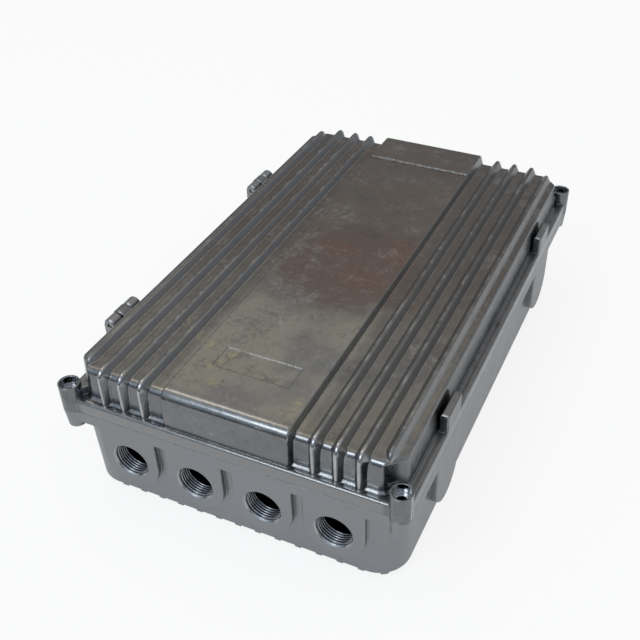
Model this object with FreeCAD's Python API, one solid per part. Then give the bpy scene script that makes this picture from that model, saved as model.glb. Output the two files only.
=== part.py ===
# Die cast outdoor equipment housing, a base and a hinged lid with cooling ribs.
# Millimetres. +Z up, X across the narrow side, Y along the length.
# Origin at the centre of the underside, on the plane that the foot ribs stand on.
import FreeCAD, Part
import math
import os

# How far the shapes of one casting reach into each other before they are joined
overlap = 1.0
least_corner_r = 0.4

# Closing flange, shared by base and lid
flange_half_x = 98.8
flange_half_y = 154.1
flange_corner_r = 5.0
parting_z = 56.5
base_flange_thick = 7.0
lid_flange_thick = 8.0
lid_flange_edge_r = 1.8
parting_gap = 0.3

# Corner screw bosses
screw_inset_x = 4.8
screw_inset_y = 3.6
screw_boss_r = 5.9
lid_boss_height = 16.2
counterbore_r = 4.9
counterbore_depth = 5.6
screw_clearance_r = 2.75
screw_tap_r = 2.1
screw_tap_depth = 11.0
base_boss_depth = 12.8
base_boss_draft = 5.0
base_boss_end_chamfer = 1.6
boss_web_half = 2.6
base_web_reach = 12.0
lid_web_reach = 11.0
lid_web_height = 13.0

# Base tub
tub_overhang_side = 3.4
tub_overhang_end = 2.5
tub_corner_r = 19.4
tub_draft = 1.8
tub_bottom_chamfer = 1.5
tub_wall = 3.5
tub_floor = 3.5
cavity_draft = 1.5
cavity_floor_chamfer = 2.5

# Foot ribs under the base and cooling ribs on the lid share one pitch
rib_pitch = 12.1
foot_rib_height = 2.6
foot_rib_half_width = 1.7
foot_rib_chamfer = 0.9
foot_rib_end_inset = 1.2
foot_ribs_each_side = 7

# Lid body
ledge = 5.1
body_rise = 26.8
body_draft = 3.4
body_corner_cut = 10.5
body_corner_r = 5.0
body_edge_r = 2.5
body_front_bend_r = 4.6
body_rear_bend_r = 3.6
body_foot_chamfer = 1.2
lid_wall = 3.0
lid_cavity_chamfer = 1.5
first_rib_x = 48.4
ribs_each_side = 4
rib_height = 4.0
rib_crest_r = 1.5
rib_flank_draft = 33.0
rib_buried = 0.9
rib_stand_off = 2.7
rib_bend_r = 6.6
outer_rib_set_back = 7.0

# Raised panel along the middle of the lid
panel_half_top = 35.8
panel_flank_draft = 26.0
panel_edge_r = 1.2
panel_hollow_end_margin = 12.0
panel_hollow_corner_r = 4.0
strip_front_y = 118.0
strip_rise = 0.9
recess_half_x = 22.2
recess_front_y = -122.3
recess_back_y = -106.4
recess_depth = 0.5

# Grip lugs on the right edge of the lid
lug_length = 20.5
lug_thick = 4.6
lug_rise = 19.6
lug_centre_y = 88.5
lug_chamfer = 0.7

# Cable ports in the front wall, blank port pads on the right wall
port_pitch = 40.0
port_count = 4
port_below_parting = 25.5
port_r = 10.0
port_mouth_r = 11.0
port_pad_r = 17.0
port_pad_edge = 0.6
port_wall = 9.5
port_inner_pad_r = 14.0
blank_pad_centre_y = 93.0

# Hinges on the left wall
hinge_centre_y = 84.0
hinge_axis_out = 8.7
arm_buried = 2.0
hinge_axis_rise = 11.0
knuckle_length = 8.5
knuckle_gap = 0.35
base_knuckle_r = 4.1
lid_knuckle_r = 4.4
knuckle_end_chamfer = 1.0
pin_r = 1.5
pin_running_clearance = 0.06
pin_press = 0.01
pin_recess = 0.8
pin_end_chamfer = 0.3
arm_clearance = 0.6
arm_foot_out = 4.6
arm_foot_rise = 2.0
arm_waist = 1.2

# Seal in the lid
groove_inset = 3.3
groove_half_width = 1.3
groove_depth = 2.2
groove_corner_r = 22.0
seal_side_clearance = 0.1
seal_base_clearance = 0.1

# Circuit board posts on the tub floor
post_r = 3.6
post_height = 9.0
post_tap_r = 1.25
post_tap_depth = 7.0
post_x = 66.0
post_y = 112.0

screw_half_x = flange_half_x - screw_inset_x
screw_half_y = flange_half_y - screw_inset_y
lid_z = parting_z + parting_gap
base_flange_low = parting_z - base_flange_thick
lid_ledge_z = lid_z + lid_flange_thick - parting_gap
floor_low = foot_rib_height
tub_top_half_x = flange_half_x - tub_overhang_side
tub_top_half_y = flange_half_y - tub_overhang_end
body_half_x = flange_half_x - ledge
body_half_y = flange_half_y - ledge
body_top_z = parting_z + body_rise
crest_z = body_top_z + rib_height
hinge_x = -(flange_half_x + hinge_axis_out)
hinge_z = parting_z + hinge_axis_rise
port_z = parting_z - port_below_parting


def vec(x, y, z):
    return FreeCAD.Vector(x, y, z)


def slope(degrees):
    return math.tan(math.radians(degrees))


def rounded_wire(corners, radius, z):
    """Closed wire at height z through plan corners, each rounded to the radius."""
    edges = []
    count = len(corners)
    ends = []
    for i in range(count):
        here = vec(corners[i][0], corners[i][1], z)
        back = vec(corners[i - 1][0], corners[i - 1][1], z) - here
        ahead = vec(corners[(i + 1) % count][0], corners[(i + 1) % count][1], z) - here
        half_angle = back.getAngle(ahead) / 2
        back.normalize()
        ahead.normalize()
        reach = radius / math.tan(half_angle)
        middle = (back + ahead).normalize() * (radius / math.sin(half_angle) - radius)
        ends.append((here + back * reach, here + middle, here + ahead * reach))
    for i in range(count):
        edges.append(Part.Arc(*ends[i]).toShape())
        start = ends[i][2]
        stop = ends[(i + 1) % count][0]
        if (stop - start).Length > 1e-6:
            edges.append(Part.LineSegment(start, stop).toShape())
    return Part.Wire(edges)


def box_corners(half_x, half_y, cut=0.0):
    """Plan corners of a rectangle, with its four corners cut at 45 degrees."""
    if cut <= 0:
        return [(-half_x, -half_y), (half_x, -half_y), (half_x, half_y), (-half_x, half_y)]
    near_x = half_x - cut
    near_y = half_y - cut
    return [
        (-near_x, -half_y), (near_x, -half_y), (half_x, -near_y), (half_x, near_y),
        (near_x, half_y), (-near_x, half_y), (-half_x, near_y), (-half_x, -near_y),
    ]


def inset_wire(half_x, half_y, corner_r, inset, z, cut=0.0):
    """The same outline moved inwards by inset, as a true parallel curve."""
    small_cut = max(cut - inset * (2 - math.sqrt(2)), 0.0) if cut > 0 else 0.0
    return rounded_wire(box_corners(half_x - inset, half_y - inset, small_cut),
                        max(corner_r - inset, least_corner_r), z)


def drafted(half_x, half_y, corner_r, z_wide, z_narrow, draft, cut=0.0):
    """Solid with drafted walls between its wide and its narrow end."""
    inset = abs(z_wide - z_narrow) * slope(draft)
    wide = inset_wire(half_x, half_y, corner_r, 0.0, z_wide, cut)
    narrow = inset_wire(half_x, half_y, corner_r, inset, z_narrow, cut)
    return Part.makeLoft([wide, narrow], True, True)


def prism(wire, height):
    return Part.Face(wire).extrude(vec(0, 0, height))


def edges_at(shape, z):
    """Edges that lie wholly in the plane at height z."""
    found = []
    for edge in shape.Edges:
        box = edge.BoundBox
        if abs(box.ZMin - z) < 1e-4 and abs(box.ZMax - z) < 1e-4:
            found.append(edge)
    return found


def corner_signs():
    return [(sx, sy) for sx in (-1, 1) for sy in (-1, 1)]


def corner_places():
    return [(sx * screw_half_x, sy * screw_half_y) for sx, sy in corner_signs()]


def web_to_centre(sx, sy, z_low, z_high, reach):
    """Short wall from a corner boss, at 45 degrees in plan towards the middle."""
    wall = Part.makeBox(reach, 2 * boss_web_half, z_high - z_low, vec(0, -boss_web_half, z_low))
    wall.rotate(vec(0, 0, 0), vec(0, 0, 1), math.degrees(math.atan2(-sy, -sx)))
    wall.translate(vec(sx * screw_half_x, sy * screw_half_y, 0))
    return wall


def tongue(radius, z_centre, z_top, depth):
    """Pad outline with a half-round lower end, standing in the XZ plane, depth along +Y."""
    left = vec(-radius, 0, z_centre)
    right = vec(radius, 0, z_centre)
    top_left = vec(-radius, 0, z_top)
    top_right = vec(radius, 0, z_top)
    wire = Part.Wire([
        Part.Arc(left, vec(0, 0, z_centre - radius), right).toShape(),
        Part.LineSegment(right, top_right).toShape(),
        Part.LineSegment(top_right, top_left).toShape(),
        Part.LineSegment(top_left, left).toShape(),
    ])
    return Part.Face(wire).extrude(vec(0, depth, 0))


def break_face_edges(pad):
    """Breaks the outer face edges of a tongue pad, except along its top."""
    on_face = [edge for edge in pad.Edges if edge.BoundBox.YMax < 1e-4]
    chosen = [edge for edge in on_face if edge.BoundBox.ZLength > port_pad_edge]
    return pad.makeChamfer(port_pad_edge, chosen)


def outer_pad():
    pad = tongue(port_pad_r, port_z, parting_z - overlap, tub_overhang_side + tub_wall)
    return break_face_edges(pad)


def port_places():
    first = -(port_count - 1) / 2 * port_pitch
    return [first + i * port_pitch for i in range(port_count)]


def tub():
    outer = drafted(tub_top_half_x, tub_top_half_y, tub_corner_r, parting_z - overlap, floor_low,
                    tub_draft)
    outer = outer.makeChamfer(tub_bottom_chamfer, edges_at(outer, floor_low))
    flange = prism(rounded_wire(box_corners(flange_half_x, flange_half_y), flange_corner_r,
                                base_flange_low), base_flange_thick)
    return outer.fuse(flange)


def tub_cavity():
    cavity = drafted(tub_top_half_x - tub_wall, tub_top_half_y - tub_wall,
                     tub_corner_r - tub_wall, parting_z, floor_low + tub_floor, cavity_draft)
    return cavity.makeChamfer(cavity_floor_chamfer, edges_at(cavity, floor_low + tub_floor))


def inner_port_block(x):
    """Thick wall behind one port, arched at the top and standing on the floor."""
    low = floor_low + tub_floor / 2
    outer_face = -flange_half_y + tub_overhang_end + tub_wall / 2
    depth = -flange_half_y + port_wall - outer_face
    arch = Part.makeCylinder(port_inner_pad_r, depth, vec(x, outer_face, port_z), vec(0, 1, 0))
    legs = Part.makeBox(2 * port_inner_pad_r, depth, port_z - low,
                        vec(x - port_inner_pad_r, outer_face, low))
    return arch.fuse(legs)


def port_cutter(x):
    """Round port bore with a chamfered mouth."""
    chamfer = port_mouth_r - port_r
    bore = Part.makeCylinder(port_r, port_wall + 2 * overlap, vec(x, -flange_half_y - overlap, port_z),
                             vec(0, 1, 0))
    mouth = Part.makeCone(port_mouth_r, port_r, chamfer, vec(x, -flange_half_y, port_z),
                          vec(0, 1, 0))
    return bore.fuse(mouth)


def foot_ribs():
    """Bars with broken crest edges along the underside, trimmed to the tub's shape."""
    bars = []
    for i in range(-foot_ribs_each_side, foot_ribs_each_side + 1):
        left = i * rib_pitch - foot_rib_half_width
        bar = Part.makeBox(2 * foot_rib_half_width, 2 * flange_half_y, foot_rib_height + overlap,
                           vec(left, -flange_half_y, 0.0))
        crest = [edge for edge in edges_at(bar, 0.0) if edge.BoundBox.YLength > flange_half_y]
        bars.append(bar.makeChamfer(foot_rib_chamfer, crest))
    inset = (parting_z - floor_low) * slope(tub_draft) + foot_rib_end_inset
    trim = prism(inset_wire(tub_top_half_x, tub_top_half_y, tub_corner_r, inset, 0.0),
                 floor_low + overlap)
    trim = trim.makeChamfer(foot_rib_end_inset, edges_at(trim, 0.0))
    return [bar.common(trim) for bar in bars]


def base_corner_boss(sx, sy):
    """Boss under the flange, tapering down and webbed to the tub corner."""
    x = sx * screw_half_x
    y = sy * screw_half_y
    low_r = screw_boss_r - base_boss_depth * slope(base_boss_draft)
    low = parting_z - base_boss_depth
    post = Part.makeCone(low_r, screw_boss_r, base_boss_depth, vec(x, y, low), vec(0, 0, 1))
    post = post.makeChamfer(base_boss_end_chamfer, edges_at(post, low))
    web = web_to_centre(sx, sy, low + base_boss_end_chamfer, parting_z - overlap, base_web_reach)
    return post.fuse(web)


def knuckle_spans():
    """Start of each of the three knuckles along a hinge, from its front end."""
    step = knuckle_length + knuckle_gap
    first = -(3 * knuckle_length + 2 * knuckle_gap) / 2
    return [first, first + step, first + 2 * step]


def arm(outline, radius, y_start):
    """Knuckle and its arm, an outline in the XZ plane given length along Y."""
    points = [vec(x, y_start, z) for x, z in outline]
    points.append(points[0])
    leg = Part.Face(Part.makePolygon(points)).extrude(vec(0, knuckle_length, 0))
    barrel = Part.makeCylinder(radius, knuckle_length, vec(hinge_x, y_start, hinge_z),
                               vec(0, 1, 0))
    rims = [edge for edge in barrel.Edges if isinstance(edge.Curve, Part.Circle)]
    leg = leg.makeChamfer(knuckle_end_chamfer / 2, side_edges(leg, y_start))
    return leg.fuse(barrel.makeChamfer(knuckle_end_chamfer, rims))


def side_edges(leg, y_start):
    """Outermost edges of an arm, on its two faces across the hinge."""
    faces = (y_start, y_start + knuckle_length)
    found = []
    for edge in leg.Edges:
        box = edge.BoundBox
        flat = any(abs(box.YMin - y) < 1e-4 and abs(box.YMax - y) < 1e-4 for y in faces)
        if flat and abs(box.XMax - leg.BoundBox.XMin) < 1e-4:
            found.append(edge)
    return found


def base_arm(y_start):
    """Arm from the base flange, outside the lid flange, up to the hinge axis."""
    root_x = -flange_half_x + arm_buried
    inner_x = -flange_half_x - arm_clearance
    outer_x = hinge_x - base_knuckle_r
    return arm([
        (root_x, parting_z), (root_x, base_flange_low), (inner_x - arm_foot_out, base_flange_low),
        (outer_x, parting_z + arm_foot_rise), (outer_x, hinge_z),
        (hinge_x + base_knuckle_r, hinge_z), (inner_x, hinge_z - base_knuckle_r - arm_waist),
        (inner_x, parting_z),
    ], base_knuckle_r, y_start)


def lid_arm(y_start):
    """Arm from the side of the lid flange, level with it, rising to the hinge axis."""
    root_x = -flange_half_x + arm_buried
    tangent = lid_knuckle_r * math.sqrt(0.5)
    low = lid_z + arm_clearance
    return arm([
        (root_x, low), (root_x, lid_ledge_z), (hinge_x + tangent, hinge_z + tangent),
        (hinge_x, hinge_z), (hinge_x, hinge_z - lid_knuckle_r), (hinge_x + tangent, low),
    ], lid_knuckle_r, y_start)


def hinge_bore(centre_y, radius):
    long = 3 * knuckle_length + 2 * knuckle_gap + 2 * overlap
    return Part.makeCylinder(radius, long, vec(hinge_x, centre_y - long / 2, hinge_z),
                             vec(0, 1, 0))


def hinge_pin(centre_y):
    long = 3 * knuckle_length + 2 * knuckle_gap - 2 * pin_recess
    pin = Part.makeCylinder(pin_r, long, vec(hinge_x, centre_y - long / 2, hinge_z),
                            vec(0, 1, 0))
    rims = [edge for edge in pin.Edges if isinstance(edge.Curve, Part.Circle)]
    return pin.makeChamfer(pin_end_chamfer, rims)


def board_post(x, y):
    low = floor_low + tub_floor / 2
    top = floor_low + tub_floor + post_height
    return Part.makeCylinder(post_r, top - low, vec(x, y, low))


def board_posts():
    return [(sx * post_x, sy * post_y) for sx, sy in corner_signs()]


def make_base():
    body = tub()
    adds = [base_corner_boss(sx, sy) for sx, sy in corner_signs()]
    adds += foot_ribs()
    pad = outer_pad()
    for x in port_places():
        front = pad.copy()
        front.translate(vec(x, -flange_half_y, 0))
        adds.append(front)
    for side_y in (-blank_pad_centre_y, blank_pad_centre_y):
        side = pad.copy()
        side.rotate(vec(0, 0, 0), vec(0, 0, 1), 90)
        side.translate(vec(flange_half_x, side_y, 0))
        adds.append(side)
    for centre_y in (-hinge_centre_y, hinge_centre_y):
        spans = knuckle_spans()
        adds.append(base_arm(centre_y + spans[0]))
        adds.append(base_arm(centre_y + spans[2]))
    body = body.fuse(adds)
    body = body.cut(tub_cavity())
    body = body.fuse([inner_port_block(x) for x in port_places()]
                     + [board_post(x, y) for x, y in board_posts()])
    cuts = [port_cutter(x) for x in port_places()]
    cuts += [Part.makeCylinder(screw_tap_r, screw_tap_depth,
                               vec(x, y, parting_z - screw_tap_depth))
             for x, y in corner_places()]
    post_top = floor_low + tub_floor + post_height
    cuts += [Part.makeCylinder(post_tap_r, post_tap_depth, vec(x, y, post_top - post_tap_depth))
             for x, y in board_posts()]
    cuts += [hinge_bore(y, pin_r - pin_press) for y in (-hinge_centre_y, hinge_centre_y)]
    return body.cut(cuts).removeSplitter()


def crest_path(end_y, top_z):
    """Line that a rib's crest follows: up the front wall, over the top, down the back."""
    foot_z = lid_ledge_z - overlap
    top = top_z - rib_bend_r
    flat = end_y - rib_bend_r
    bend = rib_bend_r * (1 - math.sqrt(0.5))
    front_foot = vec(0, -end_y, foot_z)
    front_bend = vec(0, -end_y, top)
    front_top = vec(0, -flat, top_z)
    back_top = vec(0, flat, top_z)
    back_bend = vec(0, end_y, top)
    back_foot = vec(0, end_y, foot_z)
    return Part.Wire([
        Part.LineSegment(front_foot, front_bend).toShape(),
        Part.Arc(front_bend, vec(0, -end_y + bend, top_z - bend), front_top).toShape(),
        Part.LineSegment(front_top, back_top).toShape(),
        Part.Arc(back_top, vec(0, end_y - bend, top_z - bend), back_bend).toShape(),
        Part.LineSegment(back_bend, back_foot).toShape(),
    ])


def rib_profile(end_y):
    """Section of a rib at its front foot: a round crest with drafted flanks."""
    foot_z = lid_ledge_z - overlap
    turn = math.radians(rib_flank_draft)
    tangent_x = rib_crest_r * math.cos(turn)
    tangent_y = rib_crest_r * (1 - math.sin(turn))
    root_y = rib_height + rib_buried
    root_x = tangent_x + (root_y - tangent_y) * slope(rib_flank_draft)

    def at(x, y):
        return vec(x, -end_y + y, foot_z)

    crest = Part.Arc(at(-tangent_x, tangent_y), at(0, 0), at(tangent_x, tangent_y))
    flanks = Part.makePolygon([at(tangent_x, tangent_y), at(root_x, root_y), at(-root_x, root_y),
                               at(-tangent_x, tangent_y)])
    return Part.Wire([crest.toShape()] + flanks.Edges)


def panel_profile(end_y):
    """Section of the raised panel at the front foot: rounded upper edges, drafted flanks."""
    foot_z = lid_ledge_z - overlap
    turn = math.radians(panel_flank_draft)
    half_turn = math.radians(45 + panel_flank_draft / 2)
    near_x = panel_half_top - panel_edge_r
    tangent_x = near_x + panel_edge_r * math.cos(turn)
    tangent_y = panel_edge_r * (1 - math.sin(turn))
    middle_x = near_x + panel_edge_r * math.cos(half_turn)
    middle_y = panel_edge_r * (1 - math.sin(half_turn))
    root_y = rib_height + rib_buried
    root_x = tangent_x + (root_y - tangent_y) * slope(panel_flank_draft)

    def at(x, y):
        return vec(x, -end_y + y, foot_z)

    right = Part.Arc(at(near_x, 0), at(middle_x, middle_y), at(tangent_x, tangent_y))
    left = Part.Arc(at(-tangent_x, tangent_y), at(-middle_x, middle_y), at(-near_x, 0))
    top = Part.LineSegment(at(-near_x, 0), at(near_x, 0))
    flanks = Part.makePolygon([at(tangent_x, tangent_y), at(root_x, root_y), at(-root_x, root_y),
                               at(-tangent_x, tangent_y)])
    return Part.Wire([left.toShape(), top.toShape(), right.toShape()] + flanks.Edges)


def make_rib(x):
    """One cooling rib. The outermost ones end earlier, on the cut corners of the lid."""
    end_y = body_half_y + rib_stand_off
    if abs(x) > body_half_x - body_corner_cut:
        end_y -= outer_rib_set_back
    rib = crest_path(end_y, crest_z).makePipeShell([rib_profile(end_y)], True, False)
    rib.translate(vec(x, 0, 0))
    return rib


def make_panel():
    end_y = body_half_y + rib_stand_off
    panel = crest_path(end_y, crest_z).makePipeShell([panel_profile(end_y)], True, False)
    rear_y = end_y + strip_rise
    rear = crest_path(rear_y, crest_z + strip_rise)
    strip = rear.makePipeShell([panel_profile(rear_y)], True, False)
    strip = strip.common(Part.makeBox(2 * body_half_x, flange_half_y, 2 * crest_z,
                                      vec(-body_half_x, strip_front_y, 0)))
    recess = Part.makeBox(2 * recess_half_x, recess_back_y - recess_front_y, recess_depth,
                          vec(-recess_half_x, recess_front_y, crest_z - recess_depth))
    return panel.fuse(strip).cut(recess)


def rib_places():
    places = []
    for i in range(ribs_each_side):
        x = first_rib_x + i * rib_pitch
        places += [x, -x]
    return places


def lid_flange():
    ring = prism(rounded_wire(box_corners(flange_half_x, flange_half_y), flange_corner_r, lid_z),
                 lid_ledge_z - lid_z)
    return ring.makeFillet(lid_flange_edge_r, edges_at(ring, lid_ledge_z))


def bend_cutter(low, bend_r):
    """Bar that rounds the upper front edge of the lid body to a larger bend radius."""
    centre_z = body_top_z - bend_r
    wall_y = -body_half_y + (centre_z - low) * slope(body_draft)
    turn = math.radians(body_draft)
    half_turn = math.radians(45 + body_draft / 2)
    centre_y = wall_y + bend_r / math.cos(turn)
    on_wall = vec(0, centre_y - bend_r * math.cos(turn), centre_z + bend_r * math.sin(turn))
    middle = vec(0, centre_y - bend_r * math.cos(half_turn),
                 centre_z + bend_r * math.sin(half_turn))
    on_top = vec(0, centre_y, body_top_z)
    outside = vec(0, -flange_half_y, on_wall.z)
    above = vec(0, -flange_half_y, body_top_z + bend_r)
    over = vec(0, centre_y, body_top_z + bend_r)
    wire = Part.Wire([Part.Arc(on_wall, middle, on_top).toShape(),
                      Part.makePolygon([on_top, over, above, outside, on_wall])])
    bar = Part.Face(wire).extrude(vec(2 * flange_half_x, 0, 0))
    bar.translate(vec(-flange_half_x, 0, 0))
    return bar


def lid_body():
    low = lid_z + overlap
    body = drafted(body_half_x, body_half_y, body_corner_r, low, body_top_z, body_draft,
                   body_corner_cut)
    body = body.makeFillet(body_edge_r, edges_at(body, body_top_z))
    front = bend_cutter(low, body_front_bend_r)
    rear = bend_cutter(low, body_rear_bend_r)
    rear.rotate(vec(0, 0, 0), vec(0, 0, 1), 180)
    return body.cut([front, rear])


def lid_cavity():
    """Hollow of the lid, with a second step up under the raised panel."""
    inner_top = body_top_z - lid_wall
    main = drafted(body_half_x - lid_wall, body_half_y - lid_wall, body_corner_r,
                   lid_z, inner_top, body_draft, body_corner_cut)
    main = main.makeChamfer(lid_cavity_chamfer, edges_at(main, inner_top))
    under = drafted(panel_half_top - lid_wall, body_half_y - lid_wall - panel_hollow_end_margin,
                    panel_hollow_corner_r, inner_top - overlap, inner_top + rib_height, body_draft)
    return main.fuse(under)


def lug(centre_y):
    """Flat grip lug, flush with the right side of the lid flange."""
    block = Part.makeBox(lug_thick, lug_length, lug_rise - overlap,
                         vec(flange_half_x - lug_thick, centre_y - lug_length / 2,
                             parting_z + overlap))
    top = edges_at(block, parting_z + lug_rise)
    upright = [edge for edge in block.Edges
               if edge.BoundBox.ZLength > lug_thick and edge.BoundBox.XMin > flange_half_x - 1e-3]
    return block.makeChamfer(lug_chamfer, top + upright)


def groove_ring(half_width, z_low, height):
    """Ring that follows the closing flange, half_width to each side of its middle line."""
    half_x = flange_half_x - groove_inset
    half_y = flange_half_y - groove_inset
    outside = inset_wire(half_x, half_y, groove_corner_r, -half_width, z_low)
    inside = inset_wire(half_x, half_y, groove_corner_r, half_width, z_low)
    return prism(outside, height).cut(prism(inside, height))


def body_foot_edges(shape):
    """Edges where the lid body stands on the ledge of its flange."""
    return [edge for edge in edges_at(shape, lid_ledge_z)
            if max(edge.BoundBox.XMax, -edge.BoundBox.XMin) < body_half_x + overlap
            and max(edge.BoundBox.YMax, -edge.BoundBox.YMin) < body_half_y + overlap]


def lid_corner_boss(sx, sy):
    boss = Part.makeCylinder(screw_boss_r, parting_z + lid_boss_height - lid_z,
                             vec(sx * screw_half_x, sy * screw_half_y, lid_z))
    web = web_to_centre(sx, sy, lid_z + overlap, parting_z + lid_web_height, lid_web_reach)
    return boss.fuse(web)


def make_lid():
    body = lid_flange().fuse(lid_body())
    body = body.makeChamfer(body_foot_chamfer, body_foot_edges(body))
    adds = [make_rib(x) for x in rib_places()]
    adds.append(make_panel())
    adds += [lid_corner_boss(sx, sy) for sx, sy in corner_signs()]
    adds += [lug(-lug_centre_y), lug(lug_centre_y)]
    for centre_y in (-hinge_centre_y, hinge_centre_y):
        adds.append(lid_arm(centre_y + knuckle_spans()[1]))
    body = body.fuse(adds)
    cuts = [lid_cavity(), groove_ring(groove_half_width, lid_z, groove_depth)]
    floor_z = parting_z + lid_boss_height - counterbore_depth
    for x, y in corner_places():
        cuts.append(Part.makeCylinder(screw_clearance_r, lid_boss_height,
                                      vec(x, y, lid_z - overlap)))
        cuts.append(Part.makeCylinder(counterbore_r, counterbore_depth + overlap,
                                      vec(x, y, floor_z)))
    cuts += [hinge_bore(y, pin_r + pin_running_clearance)
             for y in (-hinge_centre_y, hinge_centre_y)]
    return body.cut(cuts).removeSplitter()


def make_seal():
    low = parting_z + seal_base_clearance
    return groove_ring(groove_half_width - seal_side_clearance, low, lid_z + groove_depth - low)


def export(name, shape):
    os.makedirs("parts", exist_ok=True)
    shape.exportStep("parts/" + name + ".step")
    box = shape.BoundBox
    print(name, "solids", len(shape.Solids), "valid", shape.isValid(),
          "volume cm3 %.1f" % (shape.Volume / 1000),
          "size %.1f %.1f %.1f" % (box.XLength, box.YLength, box.ZLength))


export("base", make_base())
export("lid", make_lid())
export("seal", make_seal())
export("hinge_pin_front", hinge_pin(-hinge_centre_y))
export("hinge_pin_rear", hinge_pin(hinge_centre_y))
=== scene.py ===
import math

import bmesh
import bpy
from mathutils import Matrix, Vector


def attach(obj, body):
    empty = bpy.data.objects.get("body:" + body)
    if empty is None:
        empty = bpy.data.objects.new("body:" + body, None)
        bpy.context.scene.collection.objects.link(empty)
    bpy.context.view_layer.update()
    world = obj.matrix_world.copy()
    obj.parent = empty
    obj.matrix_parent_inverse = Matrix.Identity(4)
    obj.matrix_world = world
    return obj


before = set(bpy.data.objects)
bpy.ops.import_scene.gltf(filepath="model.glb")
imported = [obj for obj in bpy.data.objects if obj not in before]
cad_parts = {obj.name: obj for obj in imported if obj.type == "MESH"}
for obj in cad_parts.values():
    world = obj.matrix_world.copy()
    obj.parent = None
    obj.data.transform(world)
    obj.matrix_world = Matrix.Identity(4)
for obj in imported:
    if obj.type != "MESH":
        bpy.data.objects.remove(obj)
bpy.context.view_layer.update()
print("frame loaded:", ", ".join(sorted(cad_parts)))

# sizes shared by several pieces, in metres
housing = {
    "flangeHalf": (0.0988, 0.1541),
    "flangeTop": 0.0645,
    "lidTop": 0.0833,
    "crestTop": 0.0873,
    "crestBendAt": 0.1451,
    "crestBend": 0.0066,
    "panelHalf": 0.0378,
    "screwAt": (0.094, 0.1505),
    "screwBossRadius": 0.0059,
    "counterboreRadius": 0.0049,
    "counterboreFloor": 0.0671,
    "stripFront": 0.118,
    "recessHalf": 0.0222,
    "recessFront": -0.1223,
    "recessBack": -0.1064,
    "portXs": (-0.060, -0.020, 0.020, 0.060),
    "portHeight": 0.031,
    "portFace": -0.1541,
    "portRadius": 0.010,
    "portMouthRadius": 0.011,
}


class Wire:
    # one output socket of a material; sums on it add Math nodes
    def __init__(self, tree, socket=None):
        self.tree = tree
        self.socket = socket

    def node(self, kind, settings=None, values=None, output=0):
        made = self.tree.nodes.new("ShaderNode" + kind)
        for name, value in (settings or {}).items():
            if name == "stops":
                self.setStops(made.color_ramp, value)
            else:
                setattr(made, name, value)
        for name, value in (values or {}).items():
            if isinstance(value, Wire):
                self.tree.links.new(value.socket, made.inputs[name])
            else:
                made.inputs[name].default_value = value
        return Wire(self.tree, made.outputs[output])

    def setStops(self, ramp, stops):
        while len(ramp.elements) < len(stops):
            ramp.elements.new(1.0)
        for element, (place, colour) in zip(ramp.elements, stops):
            element.position = place
            element.color = (*colour, 1.0)

    def maths(self, operation, *values):
        return self.node("Math", {"operation": operation}, dict(enumerate(values)))

    def __add__(self, other):
        return self.maths("ADD", self, other)

    def __sub__(self, other):
        return self.maths("SUBTRACT", self, other)

    def __rsub__(self, other):
        return self.maths("SUBTRACT", other, self)

    def __mul__(self, other):
        return self.maths("MULTIPLY", self, other)

    def __truediv__(self, other):
        return self.maths("DIVIDE", self, other)

    __radd__ = __add__
    __rmul__ = __mul__

    def absolute(self):
        return self.maths("ABSOLUTE", self)

    def root(self):
        return self.maths("SQRT", self)

    def larger(self, other):
        return self.maths("MAXIMUM", self, other)

    def clamped(self):
        return self.maths("MINIMUM", self.larger(0.0), 1.0)

    def smooth(self, low, high):
        # 0 below low, 1 above high, an eased step between them; high may be the smaller
        flip = low > high
        values = {"Value": self, "From Min": min(low, high), "From Max": max(low, high),
                  "To Min": 1.0 if flip else 0.0, "To Max": 0.0 if flip else 1.0}
        return self.node("MapRange", {"interpolation_type": "SMOOTHSTEP"}, values)

    def mixed(self, first, second):
        # self is the share of the second colour
        return self.node("Mix", {"data_type": "RGBA"}, {0: self, 6: first, 7: second}, 2)


def colour(red, green, blue):
    return (red, green, blue, 1.0)


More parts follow.
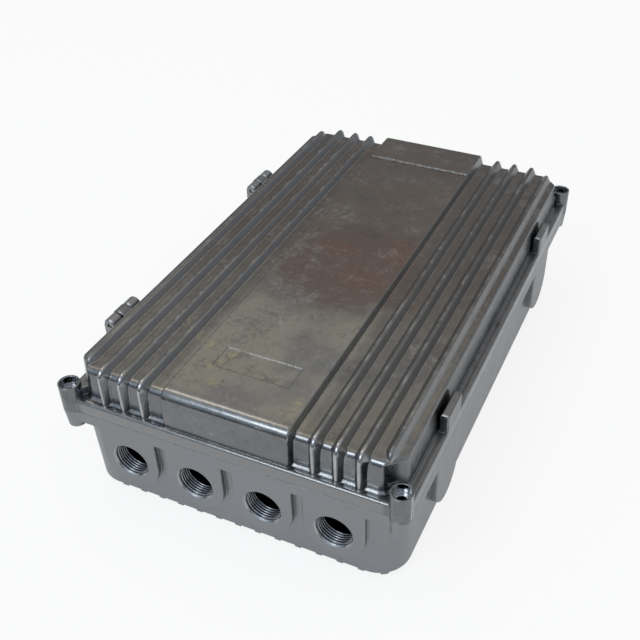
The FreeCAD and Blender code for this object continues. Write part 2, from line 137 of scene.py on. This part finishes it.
class Surface:
    # a material with its object coordinates and shader at hand
    def __init__(self, name):
        self.material = bpy.data.materials.new(name)
        self.material.use_nodes = True
        self.tree = self.material.node_tree
        self.shader = self.tree.nodes["Principled BSDF"]
        self.at = Wire(self.tree).node("TexCoord", output=3)
        split = self.tree.nodes.new("ShaderNodeSeparateXYZ")
        self.tree.links.new(self.at.socket, split.inputs[0])
        self.x, self.y, self.z = (Wire(self.tree, split.outputs[i]) for i in range(3))

    def noise(self, scale, detail=3.0, roughness=0.55, distortion=0.0, stretch=None, shift=None):
        place = self.at
        if stretch or shift:
            place = place.node("Mapping", None, {
                "Vector": place, "Scale": stretch or (1, 1, 1), "Location": shift or (0, 0, 0)})
        return place.node("TexNoise", None, {
            "Vector": place, "Scale": scale, "Detail": detail, "Roughness": roughness,
            "Distortion": distortion})

    def patch(self, centre, reach, ragged=None, rim=0.9):
        # soft spot at a place on the lid, in plan, with a ragged rim where noise is given
        across = (self.x - centre[0]) / reach[0]
        along = (self.y - centre[1]) / reach[1]
        away = (across * across + along * along).root()
        if ragged is not None:
            away = away + (ragged - 0.5) * 1.4
        return away.smooth(1.15, 1.15 - rim)

    def patches(self, places, ragged, rim=0.9):
        spots = [self.patch(centre, reach, ragged, rim) for centre, reach in places]
        whole = spots[0]
        for spot in spots[1:]:
            whole = whole.larger(spot)
        return whole

    def ringAt(self, centreX, centreY):
        # distance from an upright axis
        dx = self.x - centreX
        dy = self.y - centreY
        return (dx * dx + dy * dy).root()

    def softNormal(self, softening):
        return self.at.node("Bevel", {"samples": 6}, {"Radius": softening})

    def hollows(self, reach):
        # 1 deep in corners and grooves, 0 in the open: where painted shade goes
        light = self.at.node("AmbientOcclusion", {"samples": 6}, {"Distance": reach}, 1)
        return light.smooth(0.80, 0.25)

    def rubbedEdges(self, rounded):
        # 1 where the rounded normal turns away from the flat one
        flat = self.at.node("NewGeometry", None, None, 1)
        along = flat.node("VectorMath", {"operation": "DOT_PRODUCT"}, {0: flat, 1: rounded}, 1)
        return along.smooth(0.995, 0.93)

    def lean(self):
        # how far the surface faces sideways and upward, in the piece's own axes
        facing = self.at.node("NewGeometry", None, None, 1)
        own = facing.node("VectorTransform", {"vector_type": "NORMAL", "convert_from": "WORLD",
                                              "convert_to": "OBJECT"}, {"Vector": facing})
        split = self.tree.nodes.new("ShaderNodeSeparateXYZ")
        self.tree.links.new(own.socket, split.inputs[0])
        return Wire(self.tree, split.outputs[0]).absolute(), Wire(self.tree, split.outputs[2])

    def feed(self, name, value):
        if isinstance(value, Wire):
            self.tree.links.new(value.socket, self.shader.inputs[name])
        else:
            self.shader.inputs[name].default_value = value

    def bumped(self, layers, normal):
        # layers of (height wire, depth in metres), on top of the softened edges
        for height, depth in layers:
            normal = self.at.node("Bump", None, {
                "Height": height, "Distance": depth, "Strength": 1.0, "Normal": normal})
        self.feed("Normal", normal)


lidLook = {
    "olive": (0.292, 0.284, 0.250),
    "cool": (0.182, 0.187, 0.192),
    "umberGrey": (0.165, 0.141, 0.122),
    "umber": (0.156, 0.121, 0.108),
    "rust": (0.190, 0.112, 0.084),
    "dark": (0.105, 0.102, 0.098),
    "light": (0.315, 0.312, 0.300),
    "pale": (0.44, 0.445, 0.45),
    "flankPaintedLight": (0.320, 0.322, 0.322),
    "paintedGlint": (0.40, 0.36, 0.20),
    "flangeGrey": (0.262, 0.264, 0.264),
    "frontCoolFrom": (-0.140, -0.148),
    "frontCoolShare": 0.8,
    "umberShare": 0.9,
    "rustShare": 0.55,
    "paintedGlintShare": 0.6,
    "grooveShade": 0.45,
    "flankLean": (0.45, 0.70),
    "flankShare": 0.8,
    "rimShare": 0.8,
    "hollowReach": 0.0045,
    "hollowShade": 0.5,
    "scratchShare": 0.3,
    "mottling": 1.15,
    "waviness": 0.00050,
    "blotchDepth": 0.00009,
    "fleckDepth": 0.00004,
    "grainDepth": 0.000015,
    "scratchDepth": 0.00003,
    "roughness": 0.31,
    "umberPatch": ((0.006, -0.011), (0.043, 0.044)),
    "rustPatches": [((0.018, -0.022), (0.020, 0.014)), ((0.028, 0.010), (0.013, 0.018)),
                    ((0.050, -0.027), (0.010, 0.018)), ((-0.008, 0.002), (0.020, 0.010))],
    "paintedGlintPatches": [((-0.045, -0.100), (0.008, 0.006)), ((-0.031, -0.109), (0.006, 0.006)),
                     ((-0.021, -0.121), (0.007, 0.006)), ((-0.014, -0.133), (0.008, 0.004)),
                     ((-0.018, -0.110), (0.005, 0.003)), ((0.031, -0.130), (0.003, 0.010)),
                     ((-0.057, -0.092), (0.004, 0.008))],
    "edgeSoftening": 0.0009,
}
baseLook = {
    "cool": (0.262, 0.268, 0.277),
    "dark": (0.180, 0.185, 0.192),
    "light": (0.315, 0.325, 0.335),
    "pale": (0.40, 0.405, 0.41),
    "cut": (0.38, 0.39, 0.40),
    "mottling": 0.8,
    "hollowReach": 0.004,
    "hollowShade": 0.5,
    "rubbedShare": 0.5,
    "mouthShare": 0.7,
    "scratchShare": 0.3,
    "waviness": 0.0004,
    "fleckDepth": 0.00006,
    "grainDepth": 0.000018,
    "roughness": 0.40,
    "edgeSoftening": 0.0007,
}


def castLayers(s):
    # what every raw casting shows: slow waviness, blotches, fine skin and drag lines
    return {
        "cloud": s.noise(24, 3, 0.55, 0.3),
        "blotch": s.noise(110, 4, 0.6, 0.5, shift=(0.3, 0.7, 0.1)),
        "fleck": s.noise(330, 3, 0.6),
        "grain": s.noise(1700, 2, 0.5),
        "drag": s.noise(46, 3, 0.6, 0.2, stretch=(9.0, 0.8, 9.0)),
    }


def mottled(s, layer, strength):
    # one brightness factor around 1 from all the layers
    sway = (layer["cloud"] - 0.5) * 0.70 + (layer["blotch"] - 0.5) * 0.60
    sway = sway + (layer["fleck"] - 0.5) * 0.50 + (layer["grain"] - 0.5) * 0.45
    return (sway * strength + 0.5).clamped()


def scratchLines(s, turn, scale, thin):
    # sparse hair scratches, all lying roughly one way
    place = s.at.node("Mapping", None, {"Vector": s.at, "Rotation": (0, 0, turn),
                                        "Scale": (1.0, 0.045, 1.0)})
    cells = place.node("TexVoronoi", {"feature": "DISTANCE_TO_EDGE"},
                       {"Vector": place, "Scale": scale, "Randomness": 1.0})
    gate = s.noise(45, 2, 0.5, shift=(turn, 1.3, 0.2)).smooth(0.53, 0.62)
    return cells.smooth(thin, 0.0) * gate


def shade(ground, mottling, dark, pale):
    # darker below the middle of the mottling, paler above it
    ground = mottling.smooth(0.5, 0.0).mixed(ground, colour(*dark))
    return mottling.smooth(0.5, 1.0).mixed(ground, colour(*pale))


def crestEnvelope(s):
    # height over the middle line of the rib bends, the same on the top and round both ends
    h = housing
    over = (s.z - (h["crestTop"] - h["crestBend"])).larger(0.0)
    beyond = (s.y.absolute() - h["crestBendAt"]).larger(0.0)
    return (over * over + beyond * beyond).root()


def lineAt(place, centre, half):
    # 1 on a thin line where place equals centre
    return (place - centre).absolute().smooth(half, half * 0.4)


def between(place, low, high):
    # 1 from low to high, with a narrow soft edge
    return place.smooth(low - 0.0003, low) * place.smooth(high + 0.0003, high)


def paintedEdgeHighlights(s):
    # painted highlights along the edges of the rear strip and the shallow recess, strongest on
    # the back and left edges
    h = housing
    strip = lineAt(s.y, h["stripFront"], 0.0011) * between(s.x, -h["panelHalf"], h["panelHalf"])
    inRecessY = between(s.y, h["recessFront"], h["recessBack"])
    inRecessX = between(s.x, -h["recessHalf"], h["recessHalf"])
    back = lineAt(s.y, h["recessBack"], 0.0005) * inRecessX
    left = lineAt(s.x, -h["recessHalf"], 0.0005) * inRecessY
    right = lineAt(s.x, h["recessHalf"], 0.0004) * inRecessY * 0.5
    return strip.larger(back * 0.8).larger(left * 0.7).larger(right)


def makeLidMetal():
    s = Surface("castLidMetal")
    look = lidLook
    h = housing
    layer = castLayers(s)
    rounded = s.softNormal(look["edgeSoftening"])
    sideways, upward = s.lean()
    onTop = s.z.smooth(h["lidTop"] - 0.0015, h["lidTop"] - 0.0005) * upward.smooth(-0.05, 0.15)
    oliveShare = layer["cloud"].smooth(0.66, 0.40) * onTop
    ground = oliveShare.mixed(colour(*look["cool"]), colour(*look["olive"]))
    # towards the rear the top turns a darker umber grey: partly the casting's brown tone, partly
    # painted shade
    rearward = s.y + (layer["cloud"] - 0.5) * 0.10
    ground = (rearward.smooth(-0.095, 0.01) * onTop).mixed(ground, colour(*look["umberGrey"]))
    umber = s.patch(*look["umberPatch"], layer["cloud"] * 0.5 + layer["blotch"] * 0.5, 0.35)
    # painted shade: a cooler, darker grey towards the front edge of the lid
    atFront = s.y.smooth(*look["frontCoolFrom"])
    ground = (atFront * look["frontCoolShare"]).mixed(ground, colour(*look["cool"]))
    ground = (umber * onTop * look["umberShare"]).mixed(ground, colour(*look["umber"]))
    rust = s.patches(look["rustPatches"], layer["cloud"] * 0.6 + layer["blotch"] * 0.4) * onTop
    inGrooves = s.x.absolute().smooth(h["panelHalf"], h["panelHalf"] + 0.004)
    streaks = layer["drag"].smooth(0.50, 0.72) * inGrooves * rearward.smooth(0.01, 0.09)
    rust = rust.larger(streaks * onTop * s.x.smooth(0.02, -0.04))
    ground = (rust * look["rustShare"]).mixed(ground, colour(*look["rust"]))
    ground = (inGrooves * onTop * look["grooveShade"]).mixed(ground, colour(*look["dark"]))
    ground = shade(ground, mottled(s, layer, look["mottling"]), look["dark"], look["light"])
    # painted glints: warm yellowish reflections on small spots at the front left of the top
    paintedGlint = s.patches(look["paintedGlintPatches"], layer["blotch"], 1.1) * onTop
    paintedGlint = paintedGlint * layer["fleck"].smooth(0.40, 0.62)
    ground = (paintedGlint * look["paintedGlintShare"]).mixed(ground, colour(*look["paintedGlint"]))
    # painted light: the rib sides get a lighter tone, because the solids' sides lean more than
    # the real ones and mirror a darker part of the room
    flankPaintedLight = sideways.smooth(*look["flankLean"]) * onTop * look["flankShare"]
    ground = flankPaintedLight.mixed(ground, colour(*look["flankPaintedLight"]))
    screws = screwReach(s)
    # painted light: a lighter grey on the outer faces of the lid flange, which lean slightly up
    # and mirror more of the room
    halfX, halfY = h["flangeHalf"]
    rimX = s.x.absolute().smooth(halfX - 0.0012, halfX - 0.0004)
    rimY = s.y.absolute().smooth(halfY - 0.0012, halfY - 0.0004)
    rim = rimX.larger(rimY) * s.z.smooth(h["flangeTop"], h["flangeTop"] - 0.0010)
    rim = rim * screws.smooth(h["screwBossRadius"] + 0.001, h["screwBossRadius"] + 0.004)
    ground = (rim * look["rimShare"]).mixed(ground, colour(*look["flangeGrey"]))
    # paler rib bends, partly rubbed wear and partly painted highlight, strongest on the front
    # bends
    envelope = crestEnvelope(s)
    crest = envelope.smooth(h["crestBend"] - 0.00030, h["crestBend"] - 0.00008)
    crest = crest * envelope.smooth(h["crestBend"] + 0.0008, h["crestBend"] + 0.0004)
    crest = crest * s.x.absolute().smooth(h["panelHalf"] - 0.002, h["panelHalf"] + 0.002)
    frontBend = s.y.smooth(-0.140, -0.147)
    crest = crest * (frontBend * 0.8 + layer["blotch"].smooth(0.45, 0.75) * 0.45)
    rubbed = s.rubbedEdges(rounded) * layer["fleck"].smooth(0.30, 0.62) * 0.5
    # wear and painted highlight together: rib bends, rubbed edges and the painted edge
    # highlights
    wearAndHighlight = crest.larger(rubbed).larger(paintedEdgeHighlights(s) * onTop * 0.15)
    # painted shade in corners, creases and grooves; the pale marks are kept out of it
    hollow = s.hollows(look["hollowReach"])
    wearAndHighlight = wearAndHighlight * (1 - hollow)
    ground = wearAndHighlight.mixed(ground, colour(*look["pale"]))
    ground = (hollow * look["hollowShade"]).mixed(ground, colour(*look["dark"]))
    bores = boreMask(s, screws)
    ground = bores.mixed(ground, colour(*baseLook["cut"]))
    scratch = scratchLines(s, 0.5, 70, 0.008).larger(scratchLines(s, -0.9, 55, 0.006))
    ground = (scratch * look["scratchShare"]).mixed(ground, colour(*look["pale"]))
    s.feed("Base Color", ground)
    s.feed("Metallic", 1.0)
    rough = (layer["blotch"] - 0.5) * 0.20 + (layer["fleck"] - 0.5) * 0.12 + look["roughness"]
    rough = rough + rust * 0.06 - wearAndHighlight * 0.12 - paintedGlint * 0.06 - bores * 0.12 - atFront * 0.09
    s.feed("Roughness", rough.clamped())
    cast = 1 - bores
    s.bumped([(layer["cloud"] * cast, look["waviness"]),
              (layer["blotch"] * cast, look["blotchDepth"]),
              (layer["fleck"] * cast, look["fleckDepth"]),
              (layer["grain"] * cast, look["grainDepth"]),
              (scratch * -1.0, look["scratchDepth"])], rounded)
    return s.material


def screwReach(s):
    # distance to the nearest of the four screw axes
    nearest = s.x * 0.0 + 1.0
    for sideX in (-1, 1):
        for sideY in (-1, 1):
            ring = s.ringAt(sideX * housing["screwAt"][0], sideY * housing["screwAt"][1])
            nearest = nearest.maths("MINIMUM", nearest, ring)
    return nearest


def boreMask(s, screws):
    # 1 on the turned walls and floors of the four counterbores
    h = housing
    inside = screws.smooth(h["counterboreRadius"] + 0.00025, h["counterboreRadius"] + 0.00005)
    return inside * s.z.smooth(h["counterboreFloor"] - 0.0004, h["counterboreFloor"] - 0.0002)


def mouthMask(s):
    # 1 on the cut mouths and bores of the four ports
    h = housing
    reach = s.x * 0.0 + 1.0
    for portX in h["portXs"]:
        dx = s.x - portX
        dz = s.z - h["portHeight"]
        reach = reach.maths("MINIMUM", reach, (dx * dx + dz * dz).root())
    inside = reach.smooth(h["portMouthRadius"] + 0.0001, h["portMouthRadius"] - 0.0001)
    return inside * s.y.smooth(h["portFace"] + 0.014, h["portFace"] + 0.012)


def makeBaseMetal():
    s = Surface("castBaseMetal")
    look = baseLook
    layer = castLayers(s)
    rounded = s.softNormal(look["edgeSoftening"])
    mottling = mottled(s, layer, look["mottling"])
    ground = shade(colour(*look["cool"]), mottling, look["dark"], look["light"])
    # painted shade in corners, creases and grooves
    hollow = s.hollows(look["hollowReach"])
    rubbed = s.rubbedEdges(rounded) * layer["fleck"].smooth(0.30, 0.62) * (1 - hollow)
    ground = (rubbed * look["rubbedShare"]).mixed(ground, colour(*look["pale"]))
    ground = (hollow * look["hollowShade"]).mixed(ground, colour(*look["dark"]))
    mouths = mouthMask(s)
    ground = (mouths * look["mouthShare"]).mixed(ground, colour(*look["cut"]))
    scratch = scratchLines(s, 1.2, 60, 0.009)
    ground = (scratch * look["scratchShare"]).mixed(ground, colour(*look["pale"]))
    s.feed("Base Color", ground)
    s.feed("Metallic", 1.0)
    rough = (layer["blotch"] - 0.5) * 0.18 + (layer["fleck"] - 0.5) * 0.10 + look["roughness"]
    s.feed("Roughness", (rough - mouths * 0.14 - rubbed * 0.08).clamped())
    s.bumped([(layer["cloud"], look["waviness"]), (layer["fleck"], look["fleckDepth"]),
              (layer["grain"], look["grainDepth"])], rounded)
    return s.material


def makeThreadMetal():
    # cut turns, a little brighter than the cast skin around them
    s = Surface("cutThreadMetal")
    mark = s.noise(600, 3, 0.6)
    worked = mark.smooth(0.3, 0.7)
    s.feed("Base Color", worked.mixed(colour(0.24, 0.25, 0.26), colour(0.33, 0.34, 0.35)))
    s.feed("Metallic", 1.0)
    s.feed("Roughness", (mark - 0.5) * 0.2 + 0.30)
    s.bumped([(mark, 0.00002)], s.softNormal(0.0001))
    return s.material


def makePinSteel():
    s = Surface("drawnPinSteel")
    draw = s.noise(500, 2, 0.5, stretch=(1, 0.05, 1))
    s.feed("Base Color", draw.mixed(colour(0.30, 0.29, 0.28), colour(0.46, 0.45, 0.44)))
    s.feed("Metallic", 1.0)
    s.feed("Roughness", draw * 0.2 + 0.28)
    s.bumped([(draw, 0.00001)], s.softNormal(0.0001))
    return s.material


def makeSealRubber():
    s = Surface("sealRubber")
    bloom = s.noise(300, 4, 0.6)
    dusty = bloom.smooth(0.4, 0.8)
    s.feed("Base Color", dusty.mixed(colour(0.022, 0.022, 0.023), colour(0.06, 0.06, 0.06)))
    s.feed("Roughness", bloom * 0.25 + 0.6)
    s.bumped([(bloom, 0.00005)], s.softNormal(0.0002))
    return s.material


lidMetal = makeLidMetal()
baseMetal = makeBaseMetal()
threadMetal = makeThreadMetal()
pinSteel = makePinSteel()
sealRubber = makeSealRubber()
print("materials made")


def dress(node, material):
    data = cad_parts[node].data
    data.materials.clear()
    data.materials.append(material)


dress("base", baseMetal)
dress("lid", lidMetal)
dress("seal", sealRubber)
dress("hinge_pin_front", pinSteel)
dress("hinge_pin_rear", pinSteel)
print("castings dressed")


def newPiece(name, mesh, body, material):
    data = bpy.data.meshes.new(name)
    mesh.to_mesh(data)
    mesh.free()
    for face in data.polygons:
        face.use_smooth = True
    piece = bpy.data.objects.new(name, data)
    bpy.context.scene.collection.objects.link(piece)
    data.materials.append(material)
    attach(piece, body)
    return piece


portThread = {
    "pitch": 0.0015,
    "turns": 5,
    "stepsPerTurn": 64,
    "ridgeDepth": 0.00085,
    "sunk": 0.00003,
    "startBehindFace": 0.0011,
    "tipFrom": 0.42,
    "tipTo": 0.54,
    "rootTo": 0.96,
}


def makePortThread(name, portX):
    # one helical ridge, a small four-sided outline spun around the bore
    p = portThread
    wall = housing["portRadius"] + p["sunk"]
    tip = wall - p["ridgeDepth"]
    startY = housing["portFace"] + p["startBehindFace"]
    bm = bmesh.new()
    spots = [(wall, 0.0), (tip, p["pitch"] * p["tipFrom"]), (tip, p["pitch"] * p["tipTo"]),
             (wall, p["pitch"] * p["rootTo"])]
    corners = [bm.verts.new((portX + out, startY + along, housing["portHeight"]))
               for out, along in spots]
    outline = bm.faces.new(corners)
    turned = p["turns"] * 2 * math.pi
    steps = p["turns"] * p["stepsPerTurn"]
    rise = p["turns"] * p["pitch"] / steps
    bmesh.ops.spin(bm, geom=[outline], cent=(portX, 0, housing["portHeight"]), axis=(0, 1, 0),
                   dvec=(0, rise, 0), angle=turned, steps=steps, use_merge=False,
                   use_normal_flip=False, use_duplicate=False)
    bmesh.ops.recalc_face_normals(bm, faces=bm.faces)
    return newPiece(name, bm, "base", threadMetal)


for number, portX in enumerate(housing["portXs"], 1):
    makePortThread("portThread%d" % number, portX)
print("port threads cut")

studio = {
    "floorSize": 6.0,
    "floorColour": (0.88, 0.88, 0.88),
    "floorGlowSeen": 0.85,
    "floorGlowMirrored": 0.5,
    "roomFrontLow": 0.16,
    "roomRearLow": 0.34,
    "roomHigh": 0.95,
    "roomLowTint": (0.86, 0.95, 1.06),
    "roomFrontTint": (0.76, 0.90, 1.08),
    "roomRearTint": (0.86, 0.81, 0.76),
    "key": {"place": (-0.30, -1.05, 1.12), "target": (0.05, -0.13, 0.07), "size": (0.55, 0.38),
            "power": 4.8, "tint": (0.90, 0.96, 1.0)},
    "warm": {"place": (-0.60, 0.02, 1.30), "target": (0, -0.1, 0.06), "size": (0.35, 0.35),
             "power": 1.1, "tint": (1.0, 0.93, 0.80)},
}

# solved from the photograph: angles in degrees, pixels of the 640 pixel picture, metres
photoView = {
    "turn": 24.067,
    "tilt": 37.884,
    "roll": -0.322,
    "place": (0.189838, -0.418329, 0.393934),
    "focalPixels": 916.685,
    "shiftPixels": (-33.745, -0.652),
    "picturePixels": 640,
    "sensorWidth": 36.0,
}


def rayShares(tree):
    # which rays ask: from the camera, and from metal or glass
    path = tree.nodes.new("ShaderNodeLightPath")
    seen = Wire(tree, path.outputs["Is Camera Ray"])
    mirrored = Wire(tree, path.outputs["Is Glossy Ray"])
    through = Wire(tree, path.outputs["Is Transmission Ray"])
    return seen, mirrored + through


def makeFloor():
    bm = bmesh.new()
    bmesh.ops.create_grid(bm, x_segments=1, y_segments=1, size=studio["floorSize"] / 2)
    data = bpy.data.meshes.new("studioFloor")
    bm.to_mesh(data)
    bm.free()
    floor = bpy.data.objects.new("studioFloor", data)
    bpy.context.scene.collection.objects.link(floor)
    material = bpy.data.materials.new("paleFloor")
    material.use_nodes = True
    tree = material.node_tree
    seen, mirrored = rayShares(tree)
    shader = tree.nodes["Principled BSDF"]
    shader.inputs["Base Color"].default_value = colour(*studio["floorColour"])
    shader.inputs["Roughness"].default_value = 0.9
    shader.inputs["Specular IOR Level"].default_value = 0.1
    glow = seen.node("Emission", None, {"Color": colour(1, 1, 1), "Strength": 1.0})
    share = seen * studio["floorGlowSeen"] + mirrored * studio["floorGlowMirrored"]
    mix = seen.node("MixShader", None, {0: share, 1: Wire(tree, shader.outputs[0]), 2: glow})
    tree.links.new(mix.socket, tree.nodes["Material Output"].inputs["Surface"])
    data.materials.append(material)


def makeWorld():
    # soft light from above, cooler ahead and dimmer behind, a darker room at eye level,
    # and white where the camera looks
    world = bpy.data.worlds.new("studioWorld")
    bpy.context.scene.world = world
    world.use_nodes = True
    tree = world.node_tree
    seen, mirrored = rayShares(tree)
    way = seen.node("TexCoord", output=0)
    split = tree.nodes.new("ShaderNodeSeparateXYZ")
    tree.links.new(way.socket, split.inputs[0])
    height = Wire(tree, split.outputs[2])
    ahead = Wire(tree, split.outputs[1]).smooth(0.05, -0.45)
    rise = (height + ahead * 0.20).smooth(0.30, 0.74)
    low = ahead * (studio["roomFrontLow"] - studio["roomRearLow"]) + studio["roomRearLow"]
    level = rise * studio["roomHigh"] + (1 - rise) * low
    white = (seen + mirrored * height.smooth(0.02, -0.02)).clamped()
    level = white + (1 - white) * level
    above = ahead.mixed(colour(*studio["roomRearTint"]), colour(*studio["roomFrontTint"]))
    tint = white.mixed(rise.mixed(colour(*studio["roomLowTint"]), above), colour(1, 1, 1))
    back = tree.nodes["Background"]
    tree.links.new(tint.socket, back.inputs["Color"])
    tree.links.new(level.socket, back.inputs["Strength"])


def makeSoftbox(name, box):
    lamp = bpy.data.lights.new(name, "AREA")
    lamp.shape = "RECTANGLE"
    lamp.size, lamp.size_y = box["size"]
    lamp.energy = box["power"]
    lamp.color = box["tint"]
    holder = bpy.data.objects.new(name, lamp)
    bpy.context.scene.collection.objects.link(holder)
    aim = Vector(box["target"]) - Vector(box["place"])
    turned = aim.to_track_quat("-Z", "Y").to_matrix().to_4x4()
    holder.matrix_world = Matrix.Translation(box["place"]) @ turned


def makeCamera():
    view = photoView
    lens = bpy.data.cameras.new("photoCamera")
    lens.sensor_fit = "HORIZONTAL"
    lens.sensor_width = view["sensorWidth"]
    lens.lens = view["focalPixels"] / view["picturePixels"] * view["sensorWidth"]
    lens.shift_x, lens.shift_y = (shift / view["picturePixels"] for shift in view["shiftPixels"])
    holder = bpy.data.objects.new("photoCamera", lens)
    bpy.context.scene.collection.objects.link(holder)
    turn = Matrix.Rotation(math.radians(view["turn"]), 4, "Z")
    tilt = Matrix.Rotation(math.radians(90 - view["tilt"]), 4, "X")
    roll = Matrix.Rotation(math.radians(view["roll"]), 4, "Z")
    holder.matrix_world = Matrix.Translation(view["place"]) @ turn @ tilt @ roll
    bpy.context.scene.camera = holder


makeFloor()
makeWorld()
makeSoftbox("keySoftbox", studio["key"])
makeSoftbox("warmSoftbox", studio["warm"])
makeCamera()
bpy.context.scene.view_settings.view_transform = "Standard"
print("studio ready")
